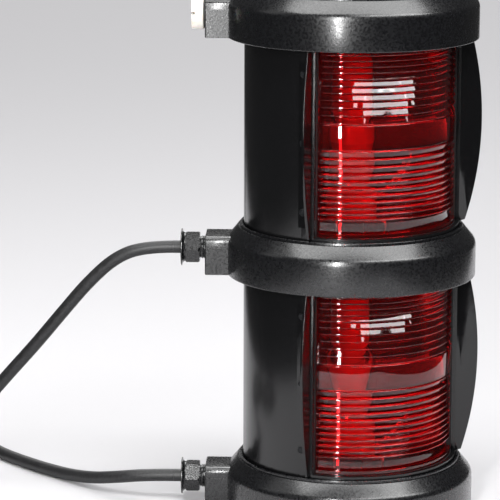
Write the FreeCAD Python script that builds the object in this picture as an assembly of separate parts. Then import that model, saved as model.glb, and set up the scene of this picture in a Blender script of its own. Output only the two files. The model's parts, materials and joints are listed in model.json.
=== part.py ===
import FreeCAD, Part
import math
import os

V = FreeCAD.Vector
UP = V(0, 0, 1)
ORIGIN = V(0, 0, 0)

# Two-tier navigation light, millimetres. +Z is up, the lens looks along -Y, and the origin is
# where the ring axis meets the surface that the bottom ring stands on.

# Driving dimensions
tier_pitch = 187.0          # from one ring's underside to the next
ring_radius = 98.0
ring_face = 27.0            # height of the ring's upright face
lip_top = 40.0              # height of the lip round the housing's foot
body_radius = 84.5          # outside of the housing
lens_radius = 80.0          # tips of the lens ribs
focus_height = 119.5        # lamp filament and middle of the lens, above its ring's underside
half_sector = 56.25         # half of the 112.5 degree sector that a side light shows
front_angle = 270.0         # the lens looks along -Y
gland_angle = 144.0         # the glands point this way, measured from +X about +Z
cable_diameter = 10.0
unlock_turn = 15.0          # bayonet travel

# Ring section
recess_radius = 85.0        # underside recess that takes the housing below
recess_depth = 8.0
deck_thickness = 4.0        # closed partition between two tiers
socket_radius = 85.1
seat_radius = 80.0
seat_height = 22.8
lip_radius = 87.4
groove_width = 1.2
groove_floor = 37.4
shoulder_mid = V(94.9, 0, 34.0)
shoulder_top = 38.3
ear_hole = 2.6              # screw holes through a ring's deck
bracket_screw_hole = 1.5
wall_gap = 0.3              # between curved faces that turn past each other

# Bayonet
lug_angles = (30.0, 150.0, 262.0)
lug_width = 14.0
lug_reach = 1.5
lug_bottom = 26.0
lug_height = 3.0
lug_play_angle = 1.5
lug_play_height = 0.6

# Gland block and glands
block_face = 114.4          # distance of the block's outer face from the axis
block_root = 87.0           # the block grows out of the ring's wall here
block_half_width = 19.0
block_height = 30.0
block_round = 4.0
block_bevel = 1.2
gland_height = 18.5
gland_bore = 9.05           # radii from here on
gland_neck = 9.0
gland_stop = 92.0           # floor of the gland bore
gland_way = 4.0             # the cores go on through this
seal_length = 8.0
washer_length = 1.5
screw_start = 102.0
hex_start = 119.2
hex_end = 130.2
hex_across = 22.0
flange_end = 133.8
flange_radius = 14.6
screw_bore = 5.6
entry_inner = 92.05         # the sheath ends on the bore's floor
entry_outer = 140.0
plug_radius = 14.0
plug_start = 115.9
plug_length = 9.5

# Housing and lens
housing_wall = 3.3
rim_bottom = 24.3
rim_top = 42.5
head_rise = 7.7             # the housing's head stands this far into the ring above
lens_foot = 34.0
lens_head = 192.0
rib_top = 186.8             # no ribs where the gasket covers the lens
lens_inner = 74.0
lens_valley = 77.6
lens_margin = 63.0          # half angle of the lens with its margins
band_half = 9.8             # half height of the smooth middle band
rib_count = 13
rib_first = 6.2             # height of the rib next to the band
rib_step = 0.22             # each further rib is this much lower
gasket_inner = 77.7
gasket_outer = 81.1
clamp_thickness = 3.3
ear_angles = (10.0, 90.0, 170.0)
ear_inner = 70.0
ear_width = 12.0
ear_middle = 75.5
ear_gap = 0.5               # under the ear, so that the ring's screws pull it down
ring_screw_radius = 2.5
ring_screw_head = 4.4
ring_screw_head_height = 3.5
ring_screw_tip = 0.6
window_inset = 0.7          # degrees that the housing's window is narrower by, each side
rib_inset = 1.4             # and the ribbed part of the lens
gasket_inset = 0.8
facet_share = 0.82          # of a rib's height
flange_bottom = 43.0        # collar round the foot of the ribs
flange_top = 45.9
flange_rise = 0.6
band_fall = 0.4

# Side screens
screen_angle = 57.5         # from the middle of the lens
screen_thickness = 2.2
screen_top_reach = 93.5
screen_middle_reach = 101.4
screen_middle_height = 115.0
screen_foot_reach = 89.5
screen_foot_height = 42.0
screen_foot = 40.6
screen_top_gap = 0.5
screen_flange = 1.5
screen_flange_angle = 6.5
screen_screw_heights = (62.0, 115.0, 168.0)
screen_screw_radius = 1.5
screen_screw_head = 3.0
screen_screw_head_height = 1.8
screw_stand = 0.5           # how far a screw's shank reaches into its head
flange_foot = 50.0          # height where a screen's flange starts
flange_head_gap = 10.0

# Lamp, holder and wiring
bracket_width = 26.0
bracket_thickness = 2.0
bracket_half_span = 24.0
bracket_foot = 40.0
bracket_screw = 33.0        # distance of its screws from the axis
bracket_top = 70.0
holder_radius = 20.0
holder_height = 22.0
cap_radius = 13.9
cap_clearance = 0.3
cap_flange = 17.5
cap_flange_height = 2.0
bulb_radius = 17.5
bulb_height = 56.0
filament_radius = 1.2
filament_length = 12.0
terminal_distance = 54.0
terminal_size = (20.0, 30.0, 13.0)
lead_radius = 1.3
bracket_hole = 1.8
bracket_head_radius = 3.2
bracket_head_height = 2.2
holder_floor = 4.0
holder_groove = 1.2
holder_groove_low = 9.0     # below the holder's top
holder_groove_high = 6.0
cap_bottom_gap = 4.3
flange_seat = 0.1
glass_thickness = 0.9
glass_floor = 1.2
neck_share = 0.68           # of the bulb's radius
neck_height_share = 0.7
stem_base = 2.5
stem_height = 12.0
stem_radii = (6.0, 2.5)
support_radius = 0.5
terminal_hole = 2.2
terminal_hole_floor = 6.0
mount_circle = 120.0
mount_hole = 4.5
mount_boss = 10.0
cover_rise = 14.0
cover_sag = 9.0             # how much higher the cover's middle is than its edge
cover_round = 3.5
cover_wall = 3.0

# Cable routes: distance out along the gland, sideways from it, and height
lower_route = (
    (140, 0, 18.5), (163, -0.8, 18.1), (185, -7.5, 14.3), (207, -22, 8.9), (230, -43, 5.6),
    (254, -65.5, 5.2), (277.5, -90, 5.2), (297, -115, 5.2), (309, -140, 5.2),
)
upper_route = (
    (140, 0, 205.5), (163.5, -0.4, 205), (186, -3, 196), (208, -8, 175), (230, -15, 148),
    (253, -24, 119), (277, -33, 91), (299, -41, 64), (321, -46, 39), (343, -48.2, 18.5), (371, -48.5, 5.4),
)
lower_coil = (368, -128)    # middle of the coil, out and sideways
upper_coil = (376, 12)
coil_outline = ((44.8, 0), (66, 0), (66, 10), (61, 20), (49, 20), (44.8, 10))
lower_end_angle = 101.5     # where on the coil the cable's free end is
upper_end_angle = 175.3
coil_end_radius = 55.25
coil_end_height = 14.5
core_radius = 1.3
core_gap = 2.8
core_length = 36.0


def turned(shape, angle, height=0.0):
    """The shape turned about the ring axis and raised."""
    placed = shape.copy()
    placed.rotate(ORIGIN, UP, angle)
    placed.translate(V(0, 0, height))
    return placed


def rod(radius, start, end):
    """A round bar between two points."""
    way = end.sub(start)
    return Part.makeCylinder(radius, way.Length, start, way)


def along_x(radius, start, end, height):
    return rod(radius, V(start, 0, height), V(end, 0, height))


def upright(radius, bottom, top, x=0.0, y=0.0):
    return rod(radius, V(x, y, bottom), V(x, y, top))


def tube(inner, outer, bottom, top):
    return upright(outer, bottom, top).cut(upright(inner, bottom - 1, top + 1))


def revolve(points, start=0.0, sweep=360.0):
    """A solid of revolution from points (radius, height), starting at an angle."""
    outline = [V(r, 0, z) for r, z in points]
    face = Part.Face(Part.makePolygon(outline + outline[:1]))
    return turned(face.revolve(ORIGIN, UP, sweep), start)


def sector(inner, outer, bottom, top, middle, half_angle):
    """A piece of a tube, half_angle to each side of middle."""
    outline = [(inner, bottom), (outer, bottom), (outer, top), (inner, top)]
    return revolve(outline, middle - half_angle, 2 * half_angle)


def hexagon(across, start, end, height):
    """A hexagonal bar along X, with a flat on top."""
    corner = across / math.sqrt(3)
    points = []
    for i in range(6):
        turn = math.radians(60 * i)
        points.append(V(start, corner * math.cos(turn), height + corner * math.sin(turn)))
    return Part.Face(Part.makePolygon(points + points[:1])).extrude(V(end - start, 0, 0))


def routed(points, radius, name=None):
    """A round tube along straight runs joined by arcs as large as the runs allow."""
    edges = []
    last = points[0]
    radii = []
    for before, corner, after in zip(points, points[1:], points[2:]):
        back = before.sub(corner)
        on = after.sub(corner)
        setback = 0.45 * min(back.Length, on.Length)
        turn = math.pi - back.getAngle(on)
        arc_radius = setback / math.tan(turn / 2)
        radii.append(arc_radius)
        back.normalize()
        on.normalize()
        start = corner + back * setback
        end = corner + on * setback
        bisector = back + on
        bisector.normalize()
        middle = corner + bisector * (arc_radius / math.cos(turn / 2) - arc_radius)
        edges.append(Part.LineSegment(last, start).toShape())
        edges.append(Part.Arc(start, middle, end).toShape())
        last = end
    edges.append(Part.LineSegment(last, points[-1]).toShape())
    path = Part.Wire(edges)
    ring = Part.Wire(Part.makeCircle(radius, points[0], points[1].sub(points[0])))
    solid = path.makePipeShell([ring], True, True)
    if name:
        expected = math.pi * radius ** 2 * path.Length
        print(name, "length %.0f" % path.Length, "volume ratio %.4f" % (solid.Volume / expected),
              "radii", [round(r) for r in radii])
    return solid


def ring_wall():
    """The turned section of a ring, open at the underside recess and at the socket."""
    face_top = V(ring_radius, 0, ring_face)
    shoulder_end = V(lip_radius + groove_width, 0, shoulder_top)
    outline = [V(recess_radius, 0, 0), V(ring_radius, 0, 0), face_top]
    inner = [
        shoulder_end,
        V(lip_radius + groove_width, 0, groove_floor),
        V(lip_radius, 0, groove_floor),
        V(lip_radius, 0, lip_top),
        V(socket_radius, 0, lip_top),
        V(socket_radius, 0, seat_height),
        V(seat_radius, 0, seat_height),
        V(seat_radius, 0, recess_depth + deck_thickness),
        V(0, 0, recess_depth + deck_thickness),
        V(0, 0, recess_depth),
        V(recess_radius, 0, recess_depth),
        V(recess_radius, 0, 0),
    ]
    lines = Part.makePolygon(outline).Edges + Part.makePolygon(inner).Edges
    shoulder = Part.Arc(face_top, shoulder_mid, shoulder_end).toShape()
    wire = Part.Wire(Part.__sortEdges__(lines + [shoulder]))
    return Part.Face(wire).revolve(ORIGIN, UP, 360)


def gland_block():
    """The block on the ring's side that the cable comes into, along +X."""
    block = Part.makeBox(block_face - block_root, 2 * block_half_width, block_height,
                         V(block_root, -block_half_width, 0))
    long_top = []
    face_edges = []
    for edge in block.Edges:
        centre = edge.CenterOfMass
        if abs(centre.z - block_height) < 0.01 and abs(abs(centre.y) - block_half_width) < 0.01:
            long_top.append(edge)
    block = block.makeFillet(block_round, long_top)
    for edge in block.Edges:
        if abs(edge.BoundBox.XMin - block_face) < 0.01 and edge.CenterOfMass.z > 0.5:
            face_edges.append(edge)
    return block.makeChamfer(block_bevel, face_edges)


def ring(mounted):
    """One ring moulding. The bottom one also has the bosses that it is bolted down through."""
    body = ring_wall()
    body = body.fuse(turned(gland_block(), gland_angle))
    bore = along_x(gland_bore, gland_stop, block_face + 1, gland_height)
    way = along_x(gland_way, seat_radius - 3, gland_stop + 1, gland_height)
    body = body.cut(turned(bore.fuse(way), gland_angle))
    reach = body_radius + lug_reach + wall_gap
    for angle in lug_angles:
        travel = (lug_width + unlock_turn) / 2 + lug_play_angle
        top = lug_bottom + lug_height + lug_play_height
        channel = sector(socket_radius - 1, reach, lug_bottom - lug_play_height, top,
                         angle + unlock_turn / 2, travel)
        entry = sector(socket_radius - 1, reach, lug_bottom, lip_top + 1,
                       angle + unlock_turn, lug_width / 2 + 1)
        body = body.cut(channel).cut(entry)
    deck_top = recess_depth + deck_thickness
    if mounted:
        for i in range(4):
            spot = turned(upright(mount_boss, 0, recess_depth, mount_circle / 2), 45 + 90 * i)
            body = body.fuse(spot)
        for i in range(4):
            hole = turned(upright(mount_hole, -1, deck_top + 1, mount_circle / 2), 45 + 90 * i)
            body = body.cut(hole)
    else:
        for angle in ear_angles:
            hole = upright(ear_hole, recess_depth - 1, deck_top + 1, ear_middle)
            body = body.cut(turned(hole, angle))
    for side in (-1, 1):
        hole = upright(bracket_screw_hole, recess_depth + 1, deck_top + 1, side * bracket_screw)
        body = body.cut(hole)
    return body.removeSplitter()


def bayonet_lugs():
    lugs = []
    for angle in lug_angles:
        lugs.append(sector(body_radius - 1, body_radius + lug_reach, lug_bottom,
                           lug_bottom + lug_height, angle, lug_width / 2))
    return lugs


def screw_spots():
    """Angle and height of every side screen screw."""
    for side in (-1, 1):
        angle = front_angle + side * (screen_angle + screen_flange_angle * 0.6)
        for height in screen_screw_heights:
            yield angle, height


def housing():
    """Black shell: whole at its foot and head, open towards the front between them."""
    inner = body_radius - housing_wall
    shell = tube(inner, body_radius, rim_bottom, tier_pitch + head_rise)
    window = sector(inner - 2, body_radius + 2, rim_top, tier_pitch + ear_gap,
                    front_angle, half_sector - window_inset)
    shell = shell.cut(window)
    for lug in bayonet_lugs():
        shell = shell.fuse(lug)
    for angle in ear_angles:
        ear = Part.makeBox(inner - ear_inner + 1, ear_width, head_rise - ear_gap,
                           V(ear_inner, -ear_width / 2, tier_pitch + ear_gap))
        ear = ear.common(upright(inner + 0.5, tier_pitch, tier_pitch + head_rise + 1))
        hole = upright(ring_screw_radius, tier_pitch, tier_pitch + head_rise + 1, ear_middle)
        shell = shell.fuse(turned(ear, angle)).cut(turned(hole, angle))
    for angle, height in screw_spots():
        hole = along_x(screen_screw_radius, inner - 1, body_radius + 1, height)
        shell = shell.cut(turned(hole, angle))
    return shell.removeSplitter()


def lens():
    """Red lens: a smooth middle band, and prism ribs above and below it."""
    middle = focus_height
    margin = sector(lens_inner, lens_valley, lens_foot, lens_head, front_angle, lens_margin)
    outline = [(lens_valley - 1, middle + band_half)]
    height = middle + band_half
    pitch = rib_first
    for i in range(rib_count):
        if height + pitch > rib_top:
            break
        outline += [(lens_radius, height), (lens_valley, height + pitch * facet_share)]
        outline += [(lens_valley, height + pitch)]
        height += pitch
        pitch -= rib_step
    outline += [(lens_valley - 1, height)]
    upper = outline
    lower = [(r, 2 * middle - z) for r, z in upper]
    band_edge = lens_radius - band_fall
    band = [(lens_valley - 1, middle - band_half), (band_edge, middle - band_half),
            (lens_radius, middle), (band_edge, middle + band_half),
            (lens_valley - 1, middle + band_half)]
    flange_radius_out = lens_radius + flange_rise
    foot = [(lens_valley - 1, flange_bottom), (flange_radius_out, flange_bottom),
            (flange_radius_out, flange_top), (lens_valley - 1, flange_top)]
    start = front_angle - half_sector + rib_inset
    sweep = 2 * (half_sector - rib_inset)
    whole = margin
    for shape in (upper, lower, band, foot):
        whole = whole.fuse(revolve(shape, start, sweep))
    return whole.removeSplitter()


def lens_gasket():
    frame = sector(gasket_inner, gasket_outer, lens_foot, lens_head, front_angle, lens_margin)
    window = sector(gasket_inner - 1, gasket_outer + 1, rim_top, tier_pitch + 0.2,
                    front_angle, half_sector - gasket_inset)
    return frame.cut(window)


def lens_clamp():
    outer = lens_inner - 0.1
    frame = sector(outer - clamp_thickness, outer, lens_foot, lens_head - 4, front_angle, lens_margin)
    window = sector(outer - clamp_thickness - 1, outer + 1, rim_top + 2, tier_pitch - 4,
                    front_angle, half_sector - 1)
    return frame.cut(window)


def screen(side):
    """Flat plate that limits the sector, with a flange screwed to the housing."""
    foot = V(body_radius + 0.1, 0, screen_foot)
    head = V(body_radius + 0.1, 0, tier_pitch - screen_top_gap)
    tip = V(screen_top_reach, 0, tier_pitch - screen_top_gap)
    belly = V(screen_middle_reach, 0, screen_middle_height)
    toe = V(screen_foot_reach, 0, screen_foot_height)
    edges = Part.makePolygon([toe, foot, head, tip]).Edges
    edges.append(Part.Arc(tip, belly, toe).toShape())
    face = Part.Face(Part.Wire(edges))
    plate = face.extrude(V(0, screen_thickness, 0))
    plate.translate(V(0, -screen_thickness / 2, 0))
    middle = side * screen_flange_angle / 2
    flange = sector(body_radius + 0.1, body_radius + 0.1 + screen_flange, flange_foot,
                    tier_pitch - flange_head_gap, middle, screen_flange_angle / 2)
    piece = turned(plate.fuse(flange), front_angle + side * screen_angle)
    for angle, height in screw_spots():
        piece = piece.cut(turned(along_x(screen_screw_radius + 0.1, 80, 90, height), angle))
    return piece.removeSplitter()


def screen_screws():
    screws = []
    seat = body_radius + 0.1 + screen_flange
    for angle, height in screw_spots():
        shank = along_x(screen_screw_radius, body_radius - housing_wall, seat + screw_stand, height)
        head = Part.makeCone(screen_screw_head, screen_screw_head * 0.7, screen_screw_head_height,
                             V(seat, 0, height), V(1, 0, 0))
        screws.append(turned(shank.fuse(head), angle))
    return Part.makeCompound(screws)


def ring_seal():
    return tube(seat_radius + 0.5, body_radius, seat_height, rim_bottom - 0.1)


def ring_screws():
    """Screws that hold a ring to the head of the housing below it."""
    screws = []
    deck_top = recess_depth + deck_thickness
    for angle in ear_angles:
        shank = upright(ring_screw_radius, ring_screw_tip, deck_top, ear_middle)
        head = upright(ring_screw_head, deck_top, deck_top + ring_screw_head_height, ear_middle)
        screws.append(turned(shank.fuse(head), angle))
    return Part.makeCompound(screws)


def lamp_bracket():
    """Bent steel strip that carries the lamp holder."""
    deck = recess_depth + deck_thickness
    t = bracket_thickness
    outline = [
        V(-bracket_foot, 0, deck), V(-bracket_half_span + t, 0, deck),
        V(-bracket_half_span + t, 0, bracket_top - t), V(bracket_half_span - t, 0, bracket_top - t),
        V(bracket_half_span - t, 0, deck), V(bracket_foot, 0, deck), V(bracket_foot, 0, deck + t),
        V(bracket_half_span, 0, deck + t), V(bracket_half_span, 0, bracket_top),
        V(-bracket_half_span, 0, bracket_top), V(-bracket_half_span, 0, deck + t),
        V(-bracket_foot, 0, deck + t),
    ]
    strip = Part.Face(Part.makePolygon(outline + outline[:1])).extrude(V(0, bracket_width, 0))
    strip.translate(V(0, -bracket_width / 2, 0))
    for side in (-1, 1):
        strip = strip.cut(upright(bracket_hole, deck - 1, deck + t + 1, side * bracket_screw))
    return strip


def bracket_screws():
    deck = recess_depth + deck_thickness
    top = deck + bracket_thickness
    screws = []
    for side in (-1, 1):
        x = side * bracket_screw
        shank = upright(bracket_screw_hole, recess_depth + 1, top + screw_stand, x)
        head = upright(bracket_head_radius, top, top + bracket_head_height, x)
        screws.append(shank.fuse(head))
    return Part.makeCompound(screws)


def lamp_holder():
    top = bracket_top + holder_height
    body = upright(holder_radius, bracket_top, top)
    body = body.cut(upright(cap_radius + cap_clearance, bracket_top + holder_floor, top + 1))
    groove = tube(holder_radius - holder_groove, holder_radius + 1,
                  top - holder_groove_low, top - holder_groove_high)
    return body.cut(groove)


def lamp_cap():
    top = bracket_top + holder_height
    body = upright(cap_radius, bracket_top + cap_bottom_gap, top + screw_stand)
    flange = upright(cap_flange, top + flange_seat, top + flange_seat + cap_flange_height)
    return body.fuse(flange).removeSplitter()


def envelope(base, top, radius):
    """Bulb shape: a neck that widens to a straight side with a round end."""
    shoulder = base + radius * neck_height_share
    neck = Part.makeCone(radius * neck_share, radius, shoulder - base, V(0, 0, base))
    side = upright(radius, shoulder, top - radius)
    return neck.fuse(side).fuse(Part.makeSphere(radius, V(0, 0, top - radius))).removeSplitter()


def lamp_bulb():
    """Clear glass envelope standing on the cap."""
    base = bracket_top + holder_height + flange_seat + cap_flange_height
    top = base + bulb_height
    outside = envelope(base, top, bulb_radius)
    return outside.cut(envelope(base + glass_floor, top - glass_thickness, bulb_radius - glass_thickness))


def lamp_filament():
    """Filament on its two support wires, standing on the glass foot."""
    base = bracket_top + holder_height + flange_seat + cap_flange_height + stem_base
    half = filament_length / 2
    stem = Part.makeCone(stem_radii[0], stem_radii[1], stem_height, V(0, 0, base))
    coil = rod(filament_radius, V(-half, 0, focus_height), V(half, 0, focus_height))
    whole = stem.fuse(coil)
    for side in (-1, 1):
        foot = V(side * 1.2, 0, base + stem_height - 1)
        wire = rod(support_radius, foot, V(side * half * 0.9, 0, focus_height))
        whole = whole.fuse(wire)
    return whole


def terminal_block():
    deck = recess_depth + deck_thickness
    x, y, z = terminal_size
    block = Part.makeBox(x, y, z, V(terminal_distance - x / 2, -y / 2, deck))
    for side in (-1, 1):
        hole = upright(terminal_hole, deck + terminal_hole_floor, deck + z + 1,
                       terminal_distance, side * y / 4)
        block = block.cut(hole)
    return turned(block, gland_angle)


def inner_leads():
    """Two cores from the cable to the terminals, and two leads on to the lamp holder."""
    deck = recess_depth + deck_thickness
    leads = []
    for side in (-1, 1):
        start = terminal_distance + terminal_size[0] / 2
        core = [V(entry_inner, side * 2.2, gland_height), V(79, side * 2.5, gland_height),
                V(73.5, side * 3.8, gland_height), V(68.5, side * 6.2, gland_height),
                V(start, side * 7.5, gland_height)]
        away = terminal_distance - terminal_size[0] / 2
        # both leads climb on the same side of the bracket's leg
        lead = [V(away, side * 7.5, deck + 6), V(away - 7, side * 7 - 1.2, deck + 7),
                V(away - 12, side * 6 - 3, deck + 15), V(away - 15, side * 4.8 - 4.8, deck + 28),
                V(away - 17.5, side * 4 - 6, deck + 42), V(holder_radius + 4.2, side * 3.5 - 6.5, deck + 56),
                V(holder_radius - 3.5, side * 3 - 6, bracket_top + 7)]
        leads.append(turned(routed(core, lead_radius), gland_angle))
        leads.append(turned(routed(lead, lead_radius), gland_angle))
    return Part.makeCompound(leads)


def gland_seal():
    body = along_x(gland_bore - 0.25, gland_stop, gland_stop + seal_length, gland_height)
    return body.cut(along_x(cable_diameter / 2, gland_stop - 1, screw_start, gland_height))


def gland_washer():
    start = gland_stop + seal_length + 0.1
    body = along_x(gland_bore - 0.25, start, start + washer_length, gland_height)
    return body.cut(along_x(screw_bore, start - 1, screw_start, gland_height))


def gland_screw():
    """Pressing screw: threaded neck, hexagon and the bell mouth that eases the cable's bend."""
    neck = along_x(gland_neck, screw_start, hex_start, gland_height)
    nut = hexagon(hex_across, hex_start, hex_end, gland_height)
    nut = nut.common(along_x(hex_across * 0.555, hex_start - 1, hex_end + 1, gland_height))
    bell = Part.makeCone(flange_radius - 1.4, flange_radius, flange_end - hex_end,
                         V(hex_end, 0, gland_height), V(1, 0, 0))
    bore = along_x(screw_bore, screw_start - 1, flange_end + 1, gland_height)
    mouth = Part.makeCone(screw_bore, screw_bore + 4.5, 6, V(flange_end - 6, 0, gland_height), V(1, 0, 0))
    return neck.fuse(nut).fuse(bell).cut(bore).cut(mouth).removeSplitter()


def cable_entry():
    return along_x(cable_diameter / 2, entry_inner, entry_outer, gland_height)


def blanking_plug():
    """Short nylon plug in the cable hole that isn't used."""
    thread = along_x(gland_neck, screw_start, plug_start, gland_height)
    head = along_x(plug_radius, plug_start, plug_start + plug_length, gland_height)
    head = head.makeChamfer(1.0, [head.Edges[0], head.Edges[2]])
    slot = Part.makeBox(3, 2 * plug_radius, 2.4,
                        V(plug_start + plug_length - 3, -plug_radius, gland_height - 1.2))
    return thread.fuse(head.cut(slot)).removeSplitter()


def blanking_washer():
    washer = along_x(plug_radius - 1, block_face + 0.05, plug_start - 0.05, gland_height)
    return washer.cut(along_x(gland_neck + 0.1, block_face - 1, plug_start + 1, gland_height))


def dome(radius, bottom, crown, ball):
    """A round block whose top is part of a ball."""
    middle = Part.makeSphere(ball, V(0, 0, crown - ball))
    return upright(radius, bottom, crown + 1).common(middle)


def top_cover():
    """Shallow dome that closes the top ring, held by the same bayonet as a housing."""
    crown = rim_top + cover_rise
    ball = (body_radius ** 2 + cover_sag ** 2) / (2 * cover_sag)
    outside = dome(body_radius, rim_bottom, crown, ball)
    brow = [edge for edge in outside.Edges if edge.BoundBox.ZMin > rim_bottom + 1 and edge.Closed]
    outside = outside.makeFillet(cover_round, brow)
    inside = dome(body_radius - cover_wall, rim_bottom - 1, crown - cover_wall, ball - cover_wall)
    cover = outside.cut(inside)
    for lug in bayonet_lugs():
        cover = cover.fuse(lug)
    return cover.removeSplitter()


def free_cable(route, name):
    points = [V(*point) for point in route]
    return turned(routed(points, cable_diameter / 2, name), gland_angle)


def cable_coil(centre):
    """Outer shape of the coiled rest of a cable, lying on the surface."""
    coil = revolve(coil_outline)
    coil.translate(V(centre[0], centre[1], 0))
    return turned(coil, gland_angle)


def cable_cores(centre, end_angle):
    """Three stripped cores that go straight on from the cable's free end on the coil."""
    cores = []
    for i in range(3):
        start = V(coil_end_radius + core_gap * (i - 1), 0, coil_end_height)
        cores.append(rod(core_radius, start, start + V(0, core_length, 0)))
    group = turned(Part.makeCompound(cores), end_angle)
    group.translate(V(centre[0], centre[1], 0))
    return turned(group, gland_angle)


def tier(name):
    """Everything that the two lights have alike, in the height of the ring that carries it."""
    pieces = {
        "housing": housing(),
        "lens": lens(),
        "lens_gasket": lens_gasket(),
        "lens_clamp": lens_clamp(),
        "screen_left": screen(-1),
        "screen_right": screen(1),
        "screen_screws": screen_screws(),
        "lamp_bracket": lamp_bracket(),
        "bracket_screws": bracket_screws(),
        "lamp_holder": lamp_holder(),
        "lamp_cap": lamp_cap(),
        "lamp_bulb": lamp_bulb(),
        "lamp_filament": lamp_filament(),
        "terminal_block": terminal_block(),
        "inner_leads": inner_leads(),
        "gland_seal": turned(gland_seal(), gland_angle),
        "gland_washer": turned(gland_washer(), gland_angle),
        "gland_screw": turned(gland_screw(), gland_angle),
        "cable_entry": turned(cable_entry(), gland_angle),
    }
    return {name + "_" + piece: shape for piece, shape in pieces.items()}


def assembly():
    parts = {"base_ring": ring(True), "base_ring_seal": ring_seal()}
    parts.update(tier("lower"))
    level = tier_pitch
    upper = ring(False)
    parts["mid_ring"] = turned(upper, 0, level)
    parts["mid_ring_seal"] = turned(ring_seal(), 0, level)
    parts["mid_ring_screws"] = turned(ring_screws(), 0, level)
    for name, shape in tier("upper").items():
        parts[name] = turned(shape, 0, level)
    level = 2 * tier_pitch
    parts["top_ring"] = turned(upper, 0, level)
    parts["top_ring_seal"] = turned(ring_seal(), 0, level)
    parts["top_ring_screws"] = turned(ring_screws(), 0, level)
    parts["top_cover"] = turned(top_cover(), 0, level)
    parts["blanking_plug"] = turned(blanking_plug(), gland_angle, level)
    parts["blanking_washer"] = turned(blanking_washer(), gland_angle, level)
    for name, route, centre, end_angle in (
            ("lower", lower_route, lower_coil, lower_end_angle),
            ("upper", upper_route, upper_coil, upper_end_angle)):
        parts[name + "_cable"] = free_cable(route, name + " cable")
        parts[name + "_cable_coil"] = cable_coil(centre)
        parts[name + "_cable_cores"] = cable_cores(centre, end_angle)
    return parts


os.makedirs("parts", exist_ok=True)
for node, shape in assembly().items():
    if not shape.isValid() or shape.Volume <= 0:
        print("CHECK", node, shape.isValid(), shape.Volume)
    shape.exportStep("parts/" + node + ".step")
print("written")
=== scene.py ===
import json
import math

import bmesh
import bpy
from mathutils import Matrix, Vector


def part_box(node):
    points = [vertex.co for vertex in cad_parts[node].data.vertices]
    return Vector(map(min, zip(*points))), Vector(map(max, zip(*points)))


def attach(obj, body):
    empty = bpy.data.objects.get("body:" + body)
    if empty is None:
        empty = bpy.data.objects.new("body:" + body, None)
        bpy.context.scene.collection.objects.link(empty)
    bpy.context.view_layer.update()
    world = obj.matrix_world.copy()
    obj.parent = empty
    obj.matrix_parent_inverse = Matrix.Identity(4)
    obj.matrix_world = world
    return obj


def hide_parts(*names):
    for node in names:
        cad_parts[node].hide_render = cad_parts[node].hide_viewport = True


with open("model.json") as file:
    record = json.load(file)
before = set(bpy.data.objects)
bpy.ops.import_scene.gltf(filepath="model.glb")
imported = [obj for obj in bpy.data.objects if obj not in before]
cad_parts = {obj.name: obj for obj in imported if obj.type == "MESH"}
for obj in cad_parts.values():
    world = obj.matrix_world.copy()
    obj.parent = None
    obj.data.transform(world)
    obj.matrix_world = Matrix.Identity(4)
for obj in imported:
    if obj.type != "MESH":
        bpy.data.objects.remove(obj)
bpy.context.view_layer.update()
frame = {"nodes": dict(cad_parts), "record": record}
nodes = frame["nodes"]
print("frame loaded:", len(nodes), "nodes")

mm = 0.001
past = 0.001             # how far a cutting shape passes the faces it cuts
weld = 1e-6              # points nearer than this become one
close = 1e-5             # and a difference this small counts as none
zAxis = Vector((0, 0, 1))
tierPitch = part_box("mid_ring")[0].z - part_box("base_ring")[0].z
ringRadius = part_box("mid_ring")[1].x
lensFront = -math.pi / 2          # the lenses look along -Y
glandAngle = math.radians(144)    # the glands point this way, from +X about +Z
facing = glandAngle + math.pi / 2  # the side of the object that the camera is on

# name of a tier, how high its ring stands, the body its ring is part of, the body of its housing
tiers = (
    ("lower", 0.0, "base", "lower_lantern"),
    ("upper", tierPitch, "lower_lantern", "upper_lantern"),
)


def aroundAxis(distance, angle, height):
    return Vector((distance * math.cos(angle), distance * math.sin(angle), height))


# camera

view = {
    "lens": 216.84,        # millimetres
    "sensor": 36,
    "distance": 2.3258,
    "height": 0.6847,
    "heading": -34.04,     # degrees
    "pitch": 78.315,
    "roll": 0.18,
}


def makeCamera():
    data = bpy.data.cameras.new("camera")
    data.lens = view["lens"]
    data.sensor_width = view["sensor"]
    camera = bpy.data.objects.new("camera", data)
    turn = Matrix.Rotation(math.radians(view["heading"]), 4, "Z")
    tilt = Matrix.Rotation(math.radians(view["pitch"]), 4, "X")
    roll = Matrix.Rotation(math.radians(view["roll"]), 4, "Z")
    place = Matrix.Translation(aroundAxis(view["distance"], facing, view["height"]))
    camera.matrix_world = place @ turn @ tilt @ roll
    bpy.context.scene.collection.objects.link(camera)
    bpy.context.scene.camera = camera


makeCamera()
print("camera placed")


# cords: distance out along the gland, sideways from it, and height, in metres

cable = {
    "diameter": 0.010,
    "exitRadius": 0.140,
    "lowerRoute": (
        (0.140, 0, 0.0185), (0.163, -0.0008, 0.0181), (0.185, -0.0075, 0.0143),
        (0.207, -0.022, 0.0089), (0.230, -0.043, 0.0056), (0.254, -0.0655, 0.0052),
        (0.2775, -0.090, 0.0052), (0.297, -0.115, 0.0052), (0.309, -0.140, 0.0052),
    ),
    "upperRoute": (
        (0.140, 0, 0.2055), (0.1635, -0.0004, 0.205), (0.186, -0.003, 0.196),
        (0.208, -0.008, 0.175), (0.230, -0.015, 0.148), (0.253, -0.024, 0.119),
        (0.277, -0.033, 0.091), (0.299, -0.041, 0.064), (0.321, -0.046, 0.039),
        (0.343, -0.0482, 0.0185), (0.371, -0.0485, 0.0054),
    ),
    "lowerCoil": (0.368, -0.128),
    "upperCoil": (0.376, 0.012),
    "lowerStart": 191.5,      # where the cable comes to its coil, degrees
    "upperStart": 265.3,
    "length": {"lower": 1.2, "upper": 1.3},
}

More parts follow.
